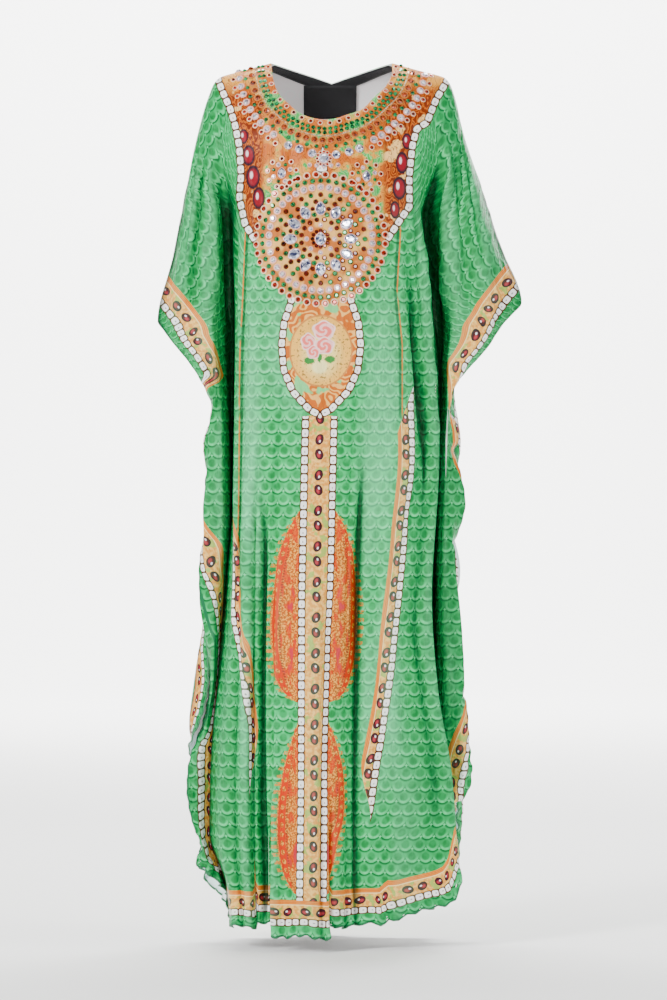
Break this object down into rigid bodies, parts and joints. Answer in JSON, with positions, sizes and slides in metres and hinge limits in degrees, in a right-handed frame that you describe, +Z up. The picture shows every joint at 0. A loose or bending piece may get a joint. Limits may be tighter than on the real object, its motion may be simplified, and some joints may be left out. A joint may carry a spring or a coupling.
{
  "type": "kaftan",
  "caption": "Full-length loose robe worn over the shoulders, with wide open sleeves, a round neck set with stones, free side edges and a curved waved hem.",
  "frame": {"origin": "middle of the neck opening, level with the shoulder's highest point, where the wearer's shoulders carry the garment", "axes": "+Z up along the garment's length, +X to the viewer's right across the shoulders, the front faces -Y"},
  "size_m": [0.5682, 0.2601, 1.3636],
  "materials": {
    "satin": "printed satin, green scale ground with jewelled bands, pale reverse",
    "black_tape": "matt woven tape",
    "label": "woven satin label, bare",
    "clear_stone": "faceted foil-backed stone"
  },
  "bodies": {
    "root": {"front_panel": "satin", "back_panel": "satin", "neck_facing": "black_tape", "neck_label": "label", "stone_drop_centre": "clear_stone", "stone_drop_left": "clear_stone", "stone_drop_right": "clear_stone", "stone_petal_01": "clear_stone", "stone_petal_02": "clear_stone", "stone_petal_03": "clear_stone", "stone_petal_04": "clear_stone", "stone_petal_05": "clear_stone", "stone_petal_06": "clear_stone", "stone_petal_07": "clear_stone", "stone_petal_08": "clear_stone", "stone_petal_09": "clear_stone", "stone_petal_10": "clear_stone", "stone_petal_11": "clear_stone", "stone_petal_12": "clear_stone", "stone_round_1": "clear_stone", "stone_round_2": "clear_stone", "stone_round_3": "clear_stone", "stone_round_4": "clear_stone", "stone_round_5": "clear_stone", "stone_round_6": "clear_stone", "stone_round_top": "clear_stone"}
  },
  "joints": []
}
